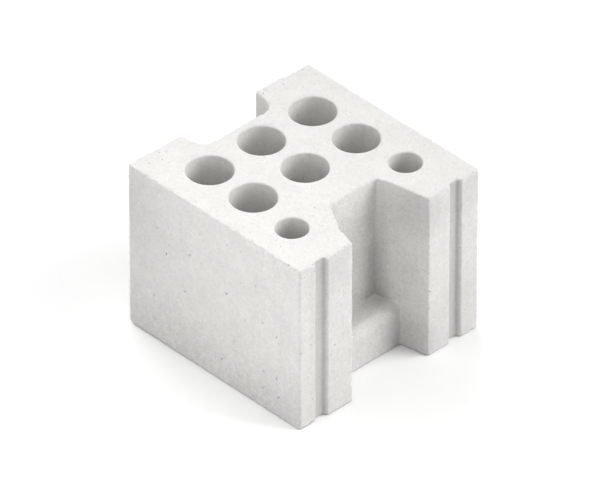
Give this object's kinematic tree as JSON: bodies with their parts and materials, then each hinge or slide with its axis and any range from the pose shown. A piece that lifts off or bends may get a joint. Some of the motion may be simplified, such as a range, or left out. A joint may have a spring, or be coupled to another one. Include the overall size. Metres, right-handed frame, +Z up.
{
  "type": "sand-lime wall block",
  "caption": "Pressed sand-lime wall block with blind round holes from the top, a plain recess in one end, a grip pocket with a ledge in the other end and upright mortar grooves.",
  "frame": {"origin": "middle of the bottom bed face, on the surface that the block stands on", "axes": "+X along the wall, towards the end with the grip pocket; +Y through the wall, towards the far smooth face; +Z up, towards the bed face with the holes"},
  "size_m": [0.25, 0.248, 0.198],
  "materials": {
    "sand_lime": "matt, fine sandy grain with small pores, off-white"
  },
  "bodies": {
    "root": {"wall_block": "sand_lime"}
  },
  "joints": []
}
